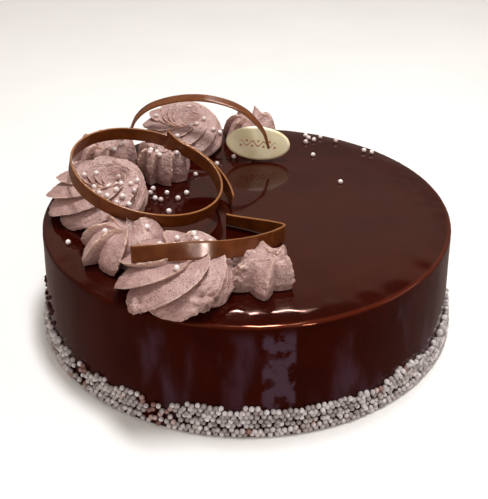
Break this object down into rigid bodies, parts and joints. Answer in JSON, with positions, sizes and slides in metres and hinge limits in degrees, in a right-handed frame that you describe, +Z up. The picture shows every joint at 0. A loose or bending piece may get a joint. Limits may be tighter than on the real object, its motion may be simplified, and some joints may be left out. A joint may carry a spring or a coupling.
{
  "type": "chocolate cake",
  "caption": "Round layer cake in dark mirror glaze, with piped chocolate cream, curled chocolate ribbons, a blank oval plaque and sugar pearls on top and round the foot",
  "frame": {"origin": "middle of the flat bottom of the cake", "axes": "+Z up, -Y toward the side where the front cream leans over the rim, +X to the right seen from there"},
  "size_m": [0.211, 0.211, 0.091],
  "materials": {
    "glaze": "dark chocolate mirror glaze",
    "cream": "piped chocolate cream, matt and fine-pored",
    "milk_chocolate": "tempered milk chocolate, satin",
    "white_chocolate": "moulded white chocolate, soft sheen"
  },
  "bodies": {
    "root": {"cake": "glaze", "cream_star_back": "cream", "cream_rosette_back": "cream", "cream_star_inner": "cream", "cream_star_rim": "cream", "cream_rosette_left": "cream", "cream_star_left_front": "cream", "cream_rosette_front": "cream", "cream_star_front_right": "cream", "ribbon_ring": "milk_chocolate", "ribbon_arch": "milk_chocolate", "ribbon_hook": "milk_chocolate", "plaque": "white_chocolate"}
  },
  "joints": []
}
